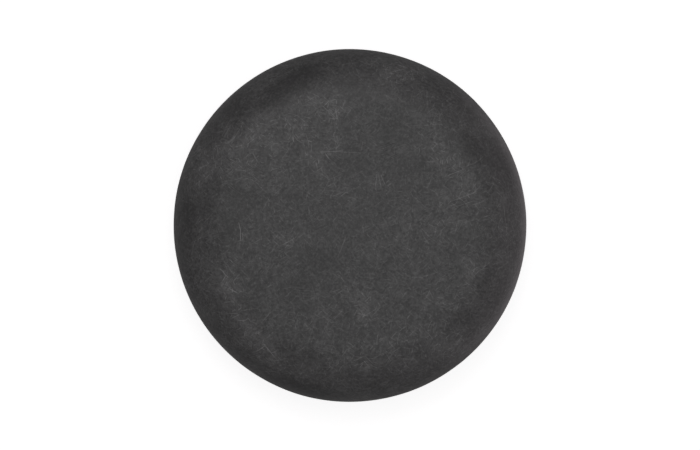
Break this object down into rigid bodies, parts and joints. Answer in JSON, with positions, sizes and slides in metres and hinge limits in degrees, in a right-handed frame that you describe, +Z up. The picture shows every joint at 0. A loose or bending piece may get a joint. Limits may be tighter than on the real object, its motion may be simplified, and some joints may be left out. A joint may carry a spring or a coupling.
{
  "type": "massage stone",
  "caption": "Round, flattened basalt massage stone with broad, nearly flat faces and a fully rounded edge, warmed and laid on or stroked over the skin.",
  "frame": {"origin": "centre of the flat underside, on the surface that the stone lies on", "axes": "+Z up through the stone's thickness, along the axis of its round outline; +X and +Y lie in the underside, and any turn about Z looks the same"},
  "size_m": [0.08, 0.08, 0.025],
  "materials": {
    "basalt": "satin"
  },
  "bodies": {
    "root": {"stone": "basalt"}
  },
  "joints": []
}
